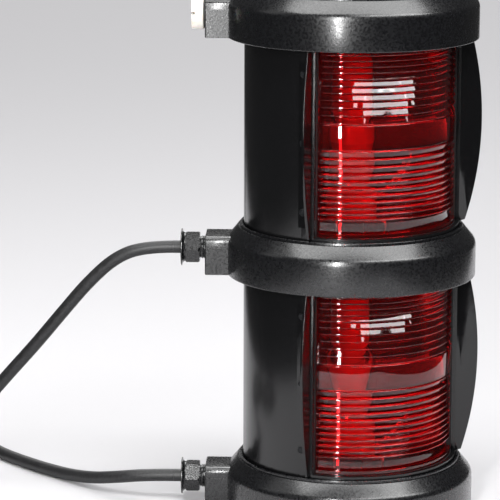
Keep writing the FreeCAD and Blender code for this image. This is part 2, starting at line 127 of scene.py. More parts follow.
coil = {
    "outer": 0.0605,          # radii of the middle of a turn
    "inner": 0.050,
    "top": 0.05525,
    "floorHeight": 0.0052,
    "topHeight": 0.0146,
    "stepInward": (300, 360),  # degrees along the coil
    "climb": (585, 645),
    "stepOutward": (625, 685),
    "end": 990,
    "perStep": 20,
    "cornerCut": 0.987,       # the spline runs at this share of its points' radius
}


def easing(angle, span):
    share = min(max((angle - span[0]) / (span[1] - span[0]), 0), 1)
    return share * share * (3 - 2 * share)


def coilLine(centre, startAngle):
    # turns lie beside and on each other: one outside, one inside, one on top
    line = []
    for angle in range(coil["perStep"], coil["end"] + 1, coil["perStep"]):
        radius = coil["outer"] + (coil["inner"] - coil["outer"]) * easing(angle, coil["stepInward"])
        radius += (coil["top"] - coil["inner"]) * easing(angle, coil["stepOutward"])
        rise = easing(angle, coil["climb"])
        height = coil["floorHeight"] + (coil["topHeight"] - coil["floorHeight"]) * rise
        direction = math.radians(startAngle + angle)
        reach = radius / coil["cornerCut"]
        line.append((centre[0] + reach * math.cos(direction),
                     centre[1] + reach * math.sin(direction), height))
    direction = math.radians(startAngle + coil["end"])
    line.append((centre[0] + coil["top"] * math.cos(direction),
                 centre[1] + coil["top"] * math.sin(direction), coil["topHeight"]))
    return line


def makeCable(tier, body):
    points = list(cable[tier + "Route"])
    points += coilLine(cable[tier + "Coil"], cable[tier + "Start"])
    data = bpy.data.curves.new(tier + "_supply_cable", "CURVE")
    data.dimensions = "3D"
    data.bevel_depth = 1.0       # times each point's radius: so the object's box is its true one
    data.bevel_resolution = 6
    data.resolution_u = 10
    data.use_fill_caps = True
    spline = data.splines.new("NURBS")
    spline.points.add(len(points) - 1)
    turn = Matrix.Rotation(glandAngle, 4, "Z")
    for place, point in zip(spline.points, points):
        place.co = (turn @ Vector(point)).to_4d()
        place.radius = cable["diameter"] / 2
    spline.order_u = 3
    spline.use_endpoint_u = True
    piece = bpy.data.objects.new(tier + "_supply_cable", data)
    bpy.context.scene.collection.objects.link(piece)
    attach(piece, body)
    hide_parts(tier + "_cable", tier + "_cable_coil")
    return piece


cables = {}
for tier, level, ringBody, housingBody in tiers:
    cables[tier] = makeCable(tier, ringBody)
print("cables laid")


# materials

def colour(code):
    # sRGB hex to linear
    parts = [int(code[i:i + 2], 16) / 255 for i in (1, 3, 5)]
    linear = [c / 12.92 if c <= 0.04045 else ((c + 0.055) / 1.055) ** 2.4 for c in parts]
    return (*linear, 1.0)


def addNode(tree, kind, settings=None, links=None):
    # sets a node's inputs and properties, and the stops of a colour ramp
    node = tree.nodes.new(kind)
    for name, value in (settings or {}).items():
        if name == "stops":
            for stop, (place, code) in zip(node.color_ramp.elements, value):
                stop.position = place
                stop.color = colour(code)
        elif isinstance(name, int) or name in node.inputs:
            node.inputs[name].default_value = value
        else:
            setattr(node, name, value)
    for name, (source, output) in (links or {}).items():
        tree.links.new(source.outputs[output], node.inputs[name])
    return node


def newMaterial(name):
    material = bpy.data.materials.new(name)
    material.use_nodes = True
    material.node_tree.nodes.clear()
    return material, material.node_tree


def finished(material, settings, links):
    # the surface itself, from what was made for it
    tree = material.node_tree
    surface = addNode(tree, "ShaderNodeBsdfPrincipled", settings, links)
    addNode(tree, "ShaderNodeOutputMaterial", None, {"Surface": (surface, "BSDF")})
    return material


def perFeature(size):
    # texture scale for a feature of this many millimetres
    return 1 / (size * mm)


def roughnessAround(middle, less, more, low=0.3, high=0.7):
    # the levels of a texture from low to high become roughness a little under and over the middle
    return {"From Min": low, "From Max": high, "To Min": middle - less, "To Max": middle + more}


smoothPolyester = {
    "colour": "#0c0c0d",
    "dust": "#1b1b1c",
    "roughness": 0.21,
    "flow": 14.0,        # millimetres between the faint waves of a moulded wall
    "grit": 0.9,
}


def smoothPolyesterMaterial():
    # glass-filled polyester pressed in a polished mould: deep black, a tight sheen, faint waves
    look = smoothPolyester
    material, tree = newMaterial("smooth_polyester")
    where = addNode(tree, "ShaderNodeTexCoord")
    waves = addNode(tree, "ShaderNodeTexNoise", {"Scale": perFeature(look["flow"]), "Detail": 2.0},
                    {"Vector": (where, "Object")})
    grit = addNode(tree, "ShaderNodeTexNoise", {"Scale": perFeature(look["grit"]), "Detail": 3.0},
                   {"Vector": (where, "Object")})
    tone = addNode(tree, "ShaderNodeMapRange", roughnessAround(look["roughness"], 0.03, 0.07, 0.35, 0.75),
                   {"Value": (grit, "Fac")})
    dust = addNode(tree, "ShaderNodeValToRGB", {"stops": ((0.55, look["colour"]), (0.8, look["dust"]))},
                   {"Fac": (grit, "Fac")})
    slow = addNode(tree, "ShaderNodeBump", {"Strength": 0.10, "Distance": 0.4 * mm},
                   {"Height": (waves, "Fac")})
    fine = addNode(tree, "ShaderNodeBump", {"Strength": 0.10, "Distance": 0.06 * mm},
                   {"Height": (grit, "Fac"), "Normal": (slow, "Normal")})
    return finished(material, {"IOR": 1.52}, {
        "Base Color": (dust, "Color"), "Roughness": (tone, "Result"), "Normal": (fine, "Normal")})


grainedPolyester = {
    "colour": "#09090b",
    "high": "#131416",
    "roughness": 0.27,
    "grain": 1.1,        # millimetres; the real grain is finer, and is drawn as coarse as it shows
    "depth": 0.07,
}


def grainedPolyesterMaterial():
    # the same polyester pressed in a grained mould: a fine leathery grain that breaks up highlights
    look = grainedPolyester
    material, tree = newMaterial("grained_polyester")
    where = addNode(tree, "ShaderNodeTexCoord")
    cells = addNode(tree, "ShaderNodeTexVoronoi",
                    {"Scale": perFeature(look["grain"]), "feature": "SMOOTH_F1"},
                    {"Vector": (where, "Object")})
    noise = addNode(tree, "ShaderNodeTexNoise", {"Scale": perFeature(look["grain"] * 1.6), "Detail": 4.0},
                    {"Vector": (where, "Object")})
    relief = addNode(tree, "ShaderNodeMath", {"operation": "ADD"},
                     {0: (cells, "Distance"), 1: (noise, "Fac")})
    tint = addNode(tree, "ShaderNodeValToRGB", {"stops": ((0.4, look["colour"]), (0.85, look["high"]))},
                   {"Fac": (noise, "Fac")})
    tone = addNode(tree, "ShaderNodeMapRange", roughnessAround(look["roughness"], 0.07, 0.09),
                   {"Value": (noise, "Fac")})
    bump = addNode(tree, "ShaderNodeBump", {"Strength": 0.55, "Distance": look["depth"] * mm},
                   {"Height": (relief, "Value")})
    return finished(material, {"IOR": 1.56, "Coat Weight": 0.3, "Coat Roughness": 0.16}, {
        "Base Color": (tint, "Color"), "Roughness": (tone, "Result"), "Normal": (bump, "Normal")})


polishedPolyester = {"colour": "#0a0a0b", "roughness": 0.09, "haze": 6.0}


def polishedPolyesterMaterial():
    # the same polyester on a flat polished plate: nearly a black mirror, with a little haze
    look = polishedPolyester
    material, tree = newMaterial("polished_polyester")
    where = addNode(tree, "ShaderNodeTexCoord")
    haze = addNode(tree, "ShaderNodeTexNoise", {"Scale": perFeature(look["haze"]), "Detail": 4.0},
                   {"Vector": (where, "Object")})
    tone = addNode(tree, "ShaderNodeMapRange", roughnessAround(look["roughness"], 0.03, 0.07, 0.35, 0.7),
                   {"Value": (haze, "Fac")})
    bump = addNode(tree, "ShaderNodeBump", {"Strength": 0.06, "Distance": 0.2 * mm},
                   {"Height": (haze, "Fac")})
    return finished(material, {"Base Color": colour(look["colour"]), "IOR": 1.52}, {
        "Roughness": (tone, "Result"), "Normal": (bump, "Normal")})


redPolycarbonate = {"colour": "#f4161a", "roughness": 0.02, "flow": 9.0}


def redPolycarbonateMaterial():
    # polycarbonate dyed red in the melt and moulded clear: bright edges, white highlights
    look = redPolycarbonate
    material, tree = newMaterial("red_polycarbonate")
    where = addNode(tree, "ShaderNodeTexCoord")
    flow = addNode(tree, "ShaderNodeTexNoise", {"Scale": perFeature(look["flow"]), "Detail": 1.0},
                   {"Vector": (where, "Object")})
    bump = addNode(tree, "ShaderNodeBump", {"Strength": 0.02, "Distance": 0.1 * mm},
                   {"Height": (flow, "Fac")})
    settings = {"Base Color": colour(look["colour"]), "Roughness": look["roughness"],
                "IOR": 1.586, "Transmission Weight": 0.985}
    return finished(material, settings, {"Normal": (bump, "Normal")})


cableSheath = {"colour": "#131314", "chalk": "#2b2b2c", "roughness": 0.46, "mottle": 2.2, "knit": 1.2}


def cableSheathMaterial():
    # extruded chloroprene sheath: satin black, with the mark of the talc it was cured in
    look = cableSheath
    material, tree = newMaterial("extruded_chloroprene")
    where = addNode(tree, "ShaderNodeTexCoord")
    mottle = addNode(tree, "ShaderNodeTexNoise", {"Scale": perFeature(look["mottle"]), "Detail": 5.0},
                     {"Vector": (where, "Object")})
    knit = addNode(tree, "ShaderNodeTexVoronoi", {"Scale": perFeature(look["knit"])},
                   {"Vector": (where, "Object")})
    tint = addNode(tree, "ShaderNodeValToRGB", {"stops": ((0.38, look["colour"]), (0.78, look["chalk"]))},
                   {"Fac": (mottle, "Fac")})
    tone = addNode(tree, "ShaderNodeMapRange", roughnessAround(look["roughness"], 0.08, 0.1),
                   {"Value": (mottle, "Fac")})
    bump = addNode(tree, "ShaderNodeBump", {"Strength": 0.4, "Distance": 0.12 * mm},
                   {"Height": (knit, "Distance")})
    return finished(material, {"IOR": 1.5}, {
        "Base Color": (tint, "Color"), "Roughness": (tone, "Result"), "Normal": (bump, "Normal")})


rolledStainless = {"colour": "#c9c8c4", "roughness": 0.27, "line": 0.5, "stretch": (1.0, 0.06, 1.0)}


def rolledStainlessMaterial():
    # cold-rolled stainless steel: bright grey, with fine rolling lines
    look = rolledStainless
    material, tree = newMaterial("rolled_stainless")
    where = addNode(tree, "ShaderNodeTexCoord")
    along = addNode(tree, "ShaderNodeMapping", {"Scale": look["stretch"]}, {"Vector": (where, "Object")})
    lines = addNode(tree, "ShaderNodeTexNoise", {"Scale": perFeature(look["line"]), "Detail": 2.0},
                    {"Vector": (along, "Vector")})
    tone = addNode(tree, "ShaderNodeMapRange", roughnessAround(look["roughness"], 0.06, 0.1),
                   {"Value": (lines, "Fac")})
    return finished(material, {"Base Color": colour(look["colour"]), "Metallic": 1.0}, {
        "Roughness": (tone, "Result")})


frostedGlass = {"colour": "#fbf8f4", "roughness": 0.4, "clear": 0.32, "frost": 0.9}


def frostedGlassMaterial():
    # blown glass etched inside: milky white, with a soft gloss
    look = frostedGlass
    material, tree = newMaterial("frosted_glass")
    where = addNode(tree, "ShaderNodeTexCoord")
    frost = addNode(tree, "ShaderNodeTexNoise", {"Scale": perFeature(look["frost"]), "Detail": 2.0},
                    {"Vector": (where, "Object")})
    bump = addNode(tree, "ShaderNodeBump", {"Strength": 0.1, "Distance": 0.05 * mm},
                   {"Height": (frost, "Fac")})
    settings = {"Base Color": colour(look["colour"]), "Roughness": look["roughness"], "IOR": 1.51,
                "Transmission Weight": look["clear"], "Coat Weight": 0.7, "Coat Roughness": 0.04}
    return finished(material, settings, {"Normal": (bump, "Normal")})


corePvc = {"colour": "#5b3420", "roughness": 0.33, "drift": 2.0}


def corePvcMaterial():
    # extruded PVC core insulation: smooth and a little shiny
    look = corePvc
    material, tree = newMaterial("extruded_pvc_brown")
    where = addNode(tree, "ShaderNodeTexCoord")
    drift = addNode(tree, "ShaderNodeTexNoise", {"Scale": perFeature(look["drift"]), "Detail": 2.0},
                    {"Vector": (where, "Object")})
    tone = addNode(tree, "ShaderNodeMapRange", roughnessAround(look["roughness"], 0.07, 0.07),
                   {"Value": (drift, "Fac")})
    return finished(material, {"Base Color": colour(look["colour"])}, {"Roughness": (tone, "Result")})


# moulded chloroprene rubber for seals: dull black with a slight bloom
sealRubber = {
    "name": "moulded_chloroprene",
    "patch": 0.8,             # millimetres
    "detail": 4.0,
    "stops": ((0.4, "#0e0e0f"), (0.9, "#1d1d1e")),
    "relief": (0.3, 0.05),    # strength, and depth in millimetres
    "shader": {"Roughness": 0.62},
}

# drawn brass for the lamp cap: warm yellow, a little tarnished
drawnBrass = {
    "name": "drawn_brass",
    "patch": 4.0,
    "detail": 5.0,
    "stops": ((0.35, "#a8843f"), (0.6, "#d8b36a")),
    "shader": {"Metallic": 1.0, "Roughness": 0.24},
}

# stainless screws blackened in a hot oxide bath: dark, satin, a little rubbed
blackOxide = {
    "name": "black_oxide_steel",
    "patch": 1.5,
    "detail": 4.0,
    "stops": ((0.5, "#17181a"), (0.85, "#3a3b3d")),
    "shader": {"Metallic": 0.6, "Roughness": 0.42},
}

# glazed steatite ceramic for the lamp holder: warm white with small flecks
glazedSteatite = {
    "name": "glazed_steatite",
    "patch": 1.4,
    "detail": 3.0,
    "stops": ((0.5, "#e9e4d8"), (0.75, "#d8d1c0")),
    "shader": {"Roughness": 0.22, "Coat Weight": 0.6, "Coat Roughness": 0.08},
}

# undyed moulded nylon: milky, slightly warm, satin
naturalNylon = {
    "name": "natural_nylon",
    "patch": 3.0,
    "detail": 3.0,
    "stops": ((0.45, "#ece8df"), (0.85, "#ded7c8")),
    "relief": (0.12, 0.05),
    "shader": {"Roughness": 0.38, "IOR": 1.53, "Subsurface Weight": 0.15, "Subsurface Scale": 1.5 * mm},
}


def mottledMaterial(look):
    # two tones that drift into each other, with a faint relief where the surface has one
    material, tree = newMaterial(look["name"])
    where = addNode(tree, "ShaderNodeTexCoord")
    patches = addNode(tree, "ShaderNodeTexNoise",
                      {"Scale": perFeature(look["patch"]), "Detail": look["detail"]},
                      {"Vector": (where, "Object")})
    tint = addNode(tree, "ShaderNodeValToRGB", {"stops": look["stops"]}, {"Fac": (patches, "Fac")})
    links = {"Base Color": (tint, "Color")}
    if "relief" in look:
        strength, depth = look["relief"]
        bump = addNode(tree, "ShaderNodeBump", {"Strength": strength, "Distance": depth * mm},
                       {"Height": (patches, "Fac")})
        links["Normal"] = (bump, "Normal")
    return finished(material, look["shader"], links)


materials = {
    "housing_plastic": smoothPolyesterMaterial(),
    "ring_plastic": grainedPolyesterMaterial(),
    "red_lens": redPolycarbonateMaterial(),
    "rubber": mottledMaterial(sealRubber),
    "stainless": rolledStainlessMaterial(),
    "brass": mottledMaterial(drawnBrass),
    "holder_plastic": mottledMaterial(glazedSteatite),
    "clear_glass": frostedGlassMaterial(),
    "nylon": mottledMaterial(naturalNylon),
    "cable_rubber": cableSheathMaterial(),
    "core_insulation": corePvcMaterial(),
}
screenLook = polishedPolyesterMaterial()
slotOf = {part["node"]: part["material_slot"] for part in frame["record"]["subparts"]}
for name, node in nodes.items():
    node.data.materials.clear()
    node.data.materials.append(materials[slotOf[name]])
screwLook = mottledMaterial(blackOxide)
for tier, level, ringBody, housingBody in tiers:
    nodes[tier + "_screen_screws"].data.materials[0] = screwLook
for piece in cables.values():
    piece.data.materials.append(materials["cable_rubber"])
print("materials made:", len(materials))


# making shapes

smoothAngle = math.radians(32)


def tidyNormals(bm):
    bmesh.ops.remove_doubles(bm, verts=bm.verts[:], dist=weld)
    bmesh.ops.recalc_face_normals(bm, faces=bm.faces[:])


def lathe(outline, middle=0.0, halfAngle=math.pi, steps=192):
    # turns a closed outline of (radius, height) about the Z axis
    full = halfAngle > math.pi - 1e-4
    bm = bmesh.new()
    loop = [bm.verts.new(aroundAxis(r, middle - halfAngle, z)) for r, z in outline]
    edges = [bm.edges.new((a, b)) for a, b in zip(loop, loop[1:] + loop[:1])]
    turned = bmesh.ops.spin(bm, geom=loop + edges, cent=(0, 0, 0), axis=zAxis,
                            angle=2 * halfAngle, steps=steps, use_merge=full)
    if not full:
        bmesh.ops.contextual_create(bm, geom=edges)
        last = [part for part in turned["geom_last"] if isinstance(part, bmesh.types.BMEdge)]
        bmesh.ops.contextual_create(bm, geom=last)
    tidyNormals(bm)
    return bm


def latheOpen(outline, steps=64):
    # turns an outline whose ends are on the Z axis, such as a solid plug
    bm = bmesh.new()
    line = [bm.verts.new((r, 0, z)) for r, z in outline]
    edges = [bm.edges.new(pair) for pair in zip(line, line[1:])]
    bmesh.ops.spin(bm, geom=line + edges, cent=(0, 0, 0), axis=zAxis,
                   angle=2 * math.pi, steps=steps, use_merge=True)
    tidyNormals(bm)
    return bm


def arc(centre, radius, start, end, count):
    # points (radius, height) round part of a circle, angles in degrees
    points = []
    for i in range(count + 1):
        angle = math.radians(start + (end - start) * i / count)
        points.append((centre[0] + radius * math.cos(angle), centre[1] + radius * math.sin(angle)))
    return points


def block(low, high):
    bm = bmesh.new()
    bmesh.ops.create_cube(bm, size=1)
    size = [b - a for a, b in zip(low, high)]
    bmesh.ops.scale(bm, vec=size, verts=bm.verts[:])
    bmesh.ops.translate(bm, vec=[(a + b) / 2 for a, b in zip(low, high)], verts=bm.verts[:])
    return bm


def roundEdges(bm, chosen, width, segments=3):
    edges = [edge for edge in bm.edges if chosen(edge)]
    bmesh.ops.bevel(bm, geom=edges, offset=width, offset_type="OFFSET", affect="EDGES",
                    segments=segments, profile=0.5, material=-1)
    return bm


def moved(bm, *changes):
    for change in changes:
        bmesh.ops.transform(bm, matrix=change, verts=bm.verts[:])
    return bm


def turnZ(angle):
    return Matrix.Rotation(angle, 4, "Z")


def lifted(height):
    return Matrix.Translation((0, 0, height))


def alongX(height):
    # lays a shape that was turned about Z along +X at this height
    return lifted(height) @ Matrix.Rotation(math.pi / 2, 4, "Y")


def meshObject(bm, name):
    data = bpy.data.meshes.new(name)
    bm.to_mesh(data)
    bm.free()
    piece = bpy.data.objects.new(name, data)
    bpy.context.scene.collection.objects.link(piece)
    return piece


def carved(bm, name, tools):
    # joins, cuts or intersects a shape with others, one after another, and makes it an object
    piece = meshObject(bm, name)
    helpers = []
    for operation, tool in tools:
        helper = meshObject(tool, "helper")
        change = piece.modifiers.new(operation, "BOOLEAN")
        change.operation = operation
        change.object = helper
        change.solver = "EXACT"
        helpers.append(helper)
    bpy.context.view_layer.update()
    shaped = bpy.data.meshes.new_from_object(piece.evaluated_get(bpy.context.evaluated_depsgraph_get()))
    piece.modifiers.clear()
    piece.data = shaped
    shaped.name = name
    for helper in helpers:
        bpy.data.objects.remove(helper)
    return piece


def carvedShape(bm, tools):
    # the same, for a shape that is worked on further
    piece = carved(bm, "shape", tools)
    made = bmesh.new()
    made.from_mesh(piece.data)
    bpy.data.objects.remove(piece)
    return made


def finishPiece(piece, level, body, slot, *replaced, material=None):
    piece.data.transform(lifted(level))
    bm = bmesh.new()
    bm.from_mesh(piece.data)
    bmesh.ops.remove_doubles(bm, verts=bm.verts[:], dist=2 * weld)
    bmesh.ops.dissolve_degenerate(bm, dist=2 * weld, edges=bm.edges[:])
    bm.to_mesh(piece.data)
    bm.free()
    piece.data.shade_smooth()
    piece.data.set_sharp_from_angle(angle=smoothAngle)
    piece.data.materials.clear()
    piece.data.materials.append(material or materials[slot])
    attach(piece, body)
    if replaced:
        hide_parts(*replaced)
    return piece


# rings, one under each light and one on top

ring = {
    "radius": ringRadius,
    "face": 0.027,
    "edgeRound": 0.0009,
    "shoulderRise": 0.0113,     # from the face to the groove round the lip
    "heelRound": 0.0032,
    "crestRound": 0.0007,
    "groove": 0.0012,
    "grooveFloor": 0.0374,
    "lipRadius": 0.0874,
    "lipTop": 0.040,
    "lipRound": 0.0005,
    "socket": 0.0851,
    "seatRadius": 0.080,
    "seatHeight": 0.0228,
    "recess": 0.085,
    "recessDepth": 0.008,
    "deck": 0.004,
    "blockFace": 0.1144,
    "blockRoot": 0.087,
    "blockHalf": 0.019,
    "blockHeight": 0.030,
    "blockRound": 0.004,
    "blockEdge": 0.0008,
    "blockStep": (0.0212, 0.0222),  # a shallow groove round the block
    "blockStepDepth": 0.0005,
    "glandHeight": 0.0185,
    "boreRadius": 0.00905,
    "boreFloor": 0.092,
    "wayRadius": 0.004,
    "lugs": (30, 150, 262),
    "lugHalf": 7.0,
    "unlock": 15.0,
    "lugLow": 0.026,
    "lugHigh": 0.029,
    "lugPlay": 0.0006,
    "lugRoom": 1.5,                 # degrees a lug may pass its travel
    "entryRoom": 1.0,
    "channelRadius": 0.0863,
    "boltAngles": (45, 135, 225, 315),
    "boltCircle": 0.060,
    "boltRadius": 0.0045,
    "bossRadius": 0.010,
    "earAngles": (10, 90, 170),
    "earRadius": 0.0755,
    "earHole": 0.0026,
    "bracketHole": 0.033,
    "bracketScrew": 0.0015,
    "bracketFloor": 0.001,          # what is left under its hole
}


def softCorner(before, corner, after, size, count):
    # rounds a corner of an outline with a curve that starts and ends this far from it
    corner = Vector(corner)
    start = corner + (Vector(before) - corner).normalized() * size
    end = corner + (Vector(after) - corner).normalized() * size
    points = []
    for i in range(count + 1):
        share = i / count
        points.append(tuple(start.lerp(corner, share).lerp(corner.lerp(end, share), share)))
    return points


def ringOutline():
    # from the axis out under the deck, round the ring, and back to the axis over the deck
    r = ring
    edge = r["edgeRound"]
    deckTop = r["recessDepth"] + r["deck"]
    grooveOuter = r["lipRadius"] + r["groove"]
    outline = [(0.0, r["recessDepth"]), (r["recess"], r["recessDepth"]), (r["recess"], 0.0)]
    outline += arc((r["radius"] - edge, edge), edge, -90, 0, 4)
    # the shoulder is a cone, with a soft corner at the face and a tighter one at the groove
    heel = (r["radius"], r["face"])
    crest = (grooveOuter, r["face"] + r["shoulderRise"])
    outline += softCorner((r["radius"], 0), heel, crest, r["heelRound"], 8)
    outline += softCorner(heel, crest, (grooveOuter, r["grooveFloor"]), r["crestRound"], 4)
    outline += [(grooveOuter, r["grooveFloor"]), (r["lipRadius"], r["grooveFloor"])]
    lip = r["lipRound"]
    outline += arc((r["lipRadius"] - lip, r["lipTop"] - lip), lip, 0, 90, 3)
    outline += arc((r["socket"] + lip, r["lipTop"] - lip), lip, 90, 180, 3)
    outline += [(r["socket"], r["seatHeight"]), (r["seatRadius"], r["seatHeight"])]
    return outline + [(r["seatRadius"], deckTop), (0.0, deckTop)]


def glandBlock():
    r = ring
    half = r["blockHalf"]
    face = r["blockFace"]
    bm = block((r["blockRoot"], -half, 0), (face, half, r["blockHeight"]))

    def topSide(edge):
        a, b = (v.co for v in edge.verts)
        return min(a.z, b.z) > r["blockHeight"] - close and abs(a.y - b.y) < close

    def outer(edge):
        # edges of the outer face
        return min(v.co.x for v in edge.verts) > face - close

    roundEdges(bm, topSide, r["blockRound"], 6)
    roundEdges(bm, outer, r["blockEdge"], 3)
    low, high = r["blockStep"]
    inset = r["blockStepDepth"]
    tools = []
    for side in (-1, 1):
        near, far = sorted((side * (half - inset), side * (half + past)))
        tools.append(("DIFFERENCE", block((r["radius"], near, low), (face + past, far, high))))
    front = block((face - inset, -half - past, low), (face + past, half + past, high))
    tools.append(("DIFFERENCE", front))
    return carvedShape(bm, tools)


def rodX(radius, start, end, height, steps=48):
    bm = latheOpen([(0, start), (radius, start), (radius, end), (0, end)], steps)
    return moved(bm, alongX(height))


def rodZ(radius, low, high, x, angle, steps=40):
    bm = latheOpen([(0, low), (radius, low), (radius, high), (0, high)], steps)
    return moved(bm, Matrix.Translation((x, 0, 0)), turnZ(angle))


def sectorTool(inner, outer, low, high, middle, half, steps=12):
    return lathe([(inner, low), (outer, low), (outer, high), (inner, high)],
                 math.radians(middle), math.radians(half), steps)


def makeRing(name, level, body, bolted):
    r = ring
    deckTop = r["recessDepth"] + r["deck"]
    bore = rodX(r["boreRadius"], r["boreFloor"], r["blockFace"] + past, r["glandHeight"])
    way = rodX(r["wayRadius"], r["seatRadius"] - 3 * past, r["boreFloor"] + past, r["glandHeight"])
    tools = [("UNION", moved(glandBlock(), turnZ(glandAngle))),
             ("DIFFERENCE", moved(bore, turnZ(glandAngle))),
             ("DIFFERENCE", moved(way, turnZ(glandAngle)))]
    for angle in r["lugs"]:
        # the channel a lug turns in, and the gap it drops through
        channel = sectorTool(r["socket"] - past, r["channelRadius"],
                             r["lugLow"] - r["lugPlay"], r["lugHigh"] + r["lugPlay"],
                             angle + r["unlock"] / 2, r["lugHalf"] + r["unlock"] / 2 + r["lugRoom"])
        entry = sectorTool(r["socket"] - past, r["channelRadius"], r["lugLow"], r["lipTop"] + past,
                           angle + r["unlock"], r["lugHalf"] + r["entryRoom"])
        tools += [("DIFFERENCE", channel), ("DIFFERENCE", entry)]
    if bolted:
        corners = [math.radians(angle) for angle in r["boltAngles"]]
        tools += [("UNION", rodZ(r["bossRadius"], 0, r["recessDepth"] + past, r["boltCircle"], corner))
                  for corner in corners]
        tools += [("DIFFERENCE", rodZ(r["boltRadius"], -past, deckTop + past, r["boltCircle"], corner))
                  for corner in corners]
    else:
        for angle in r["earAngles"]:
            hole = rodZ(r["earHole"], r["recessDepth"] - past, deckTop + past,
                        r["earRadius"], math.radians(angle), 24)
            tools.append(("DIFFERENCE", hole))
    for angle in (0, math.pi):
        hole = rodZ(r["bracketScrew"], r["recessDepth"] + r["bracketFloor"], deckTop + past,
                    r["bracketHole"], angle, 20)
        tools.append(("DIFFERENCE", hole))
    piece = carved(latheOpen(ringOutline(), 240), name + "_moulding", tools)
    return finishPiece(piece, level, body, "ring_plastic", name)


makeRing("base_ring", 0.0, "base", True)
makeRing("mid_ring", tierPitch, "lower_lantern", False)
makeRing("top_ring", 2 * tierPitch, "upper_lantern", False)
print("rings made")


# housings

housing = {
    "radius": 0.0845,
    "wall": 0.0033,
    "low": 0.0243,
    "high": tierPitch + 0.0077,
    "windowLow": 0.0425,
    "windowHigh": tierPitch + 0.0005,
    "windowHalf": 55.55,
    "edge": 0.0005,
    "lugRadius": 0.0860,
    "earInner": 0.070,
    "earHalf": 0.006,
    "earDepth": 0.0072,
    "earScrew": 0.0025,
    "earScrewDepth": 0.009,
    "screwHeights": (0.062, 0.115, 0.168),
    "screwAngle": 61.4,
    "screwHole": 0.0015,
}


def bayonetLugs(radius):
    return [("UNION", sectorTool(radius - past, housing["lugRadius"], ring["lugLow"], ring["lugHigh"],
                                 angle, ring["lugHalf"])) for angle in ring["lugs"]]


def makeHousing(tier, level, body):
    h = housing
    inner = h["radius"] - h["wall"]
    edge = h["edge"]
    outline = arc((h["radius"] - edge, h["low"] + edge), edge, -90, 0, 2)
    outline += arc((h["radius"] - edge, h["high"] - edge), edge, 0, 90, 2)
    outline += [(inner, h["high"]), (inner, h["low"])]
    window = sectorTool(inner - 2 * past, h["radius"] + 2 * past, h["windowLow"], h["windowHigh"],
                        math.degrees(lensFront), h["windowHalf"], 64)
    tools = [("DIFFERENCE", window)]
    tools += bayonetLugs(h["radius"])
    for angle in ring["earAngles"]:
        turn = math.radians(angle)
        ear = block((h["earInner"], -h["earHalf"], h["high"] - h["earDepth"]),
                    (inner + past / 2, h["earHalf"], h["high"]))
        hole = rodZ(h["earScrew"], h["high"] - h["earScrewDepth"], h["high"] + past,
                    ring["earRadius"], turn, 24)
        tools += [("UNION", moved(ear, turnZ(turn))), ("DIFFERENCE", hole)]
    for side in (-1, 1):
        for height in h["screwHeights"]:
            hole = rodX(h["screwHole"], inner - past, h["radius"] + past, height, 20)
            turn = lensFront + side * math.radians(h["screwAngle"])
            tools.append(("DIFFERENCE", moved(hole, turnZ(turn))))
    piece = carved(lathe(outline, steps=240), tier + "_housing_shell", tools)
    return finishPiece(piece, level, body, "housing_plastic", tier + "_housing")


# lenses

lens = {
    "inner": 0.074,
    "valley": 0.0776,
    "tip": 0.080,
    "tipRound": 0.0007,
    "low": 0.034,
    "high": 0.192,
    "ribTop": 0.1868,
    "focus": 0.1195,
    "bandHalf": 0.0098,
    "bandRound": 0.0008,
    "firstPitch": 0.0062,
    "pitchStep": 0.00022,
    "firstSlope": 25.5,       # degrees that a facet faces up, beside the band
    "slopeStep": 1.0,
    "riser": 0.0006,
    "tipSteps": 8,
    "flangeLow": 0.043,
    "flangeHigh": 0.0459,
    "flangeRadius": 0.0806,
    "flangeGap": 0.0004,
    "halfAngle": 63.0,
    "ribbedHalf": 54.9,
    "step": 0.6,              # degrees
}


def ribLine():
    # the outside from the middle of the band up to the last rib, as radius and height above the focus
    s = lens
    soft = s["bandRound"]
    line = arc((s["tip"] - soft, s["bandHalf"] - soft), soft, 0, 60, 3)
    height = s["bandHalf"]
    pitch = s["firstPitch"]
    slope = s["firstSlope"]
    roundness = s["tipRound"]
    line.append((s["valley"], height + s["riser"] / 2))
    while height + pitch < s["ribTop"] - s["focus"]:
        # a riser, a rounded tip, and a long facet that leans back to the foot of the next rib
        middle = (s["tip"] - roundness, height + s["riser"] + roundness)
        line += arc(middle, roundness, -90, slope, s["tipSteps"])
        lean = math.tan(math.radians(slope))
        fromRadius, fromHeight = line[-1]
        held = roundness / 4
        line.append((fromRadius - held * lean, fromHeight + held))
        height += pitch
        line.append((fromRadius - (height - fromHeight) * lean, height))
        pitch -= s["pitchStep"]
        slope += s["slopeStep"]
    return line


def lensOutline():
    s = lens
    upper = ribLine()
    above = [(r, s["focus"] + z) for r, z in upper]
    below = [(r, s["focus"] - z) for r, z in reversed(upper)]
    flange = [(s["valley"], s["flangeLow"]), (s["flangeRadius"], s["flangeLow"]),
              (s["flangeRadius"], s["flangeHigh"]), (s["valley"], s["flangeHigh"])]
    below = [point for point in below if point[1] > s["flangeHigh"] + s["flangeGap"]]
    outline = [(s["inner"], s["low"]), (s["valley"], s["low"])] + flange + below + above
    return outline + [(s["valley"], s["high"]), (s["inner"], s["high"])]


def makeLens(tier, level, body):
    s = lens
    half = math.radians(s["halfAngle"])
    steps = round(2 * s["halfAngle"] / s["step"])
    bm = lathe(lensOutline(), lensFront, half, steps)
    # the margins under the gasket are plain, so the ribs stop before them
    for vert in bm.verts:
        angle = math.atan2(vert.co.y, vert.co.x) - lensFront
        reach = math.hypot(vert.co.x, vert.co.y)
        if abs(math.degrees(angle)) > s["ribbedHalf"] and reach > s["valley"]:
            shrink = s["valley"] / reach
            vert.co.x *= shrink
            vert.co.y *= shrink
    piece = meshObject(bm, tier + "_prism_lens")
    return finishPiece(piece, level, body, "red_lens", tier + "_lens")


# screens at the edges of the sector

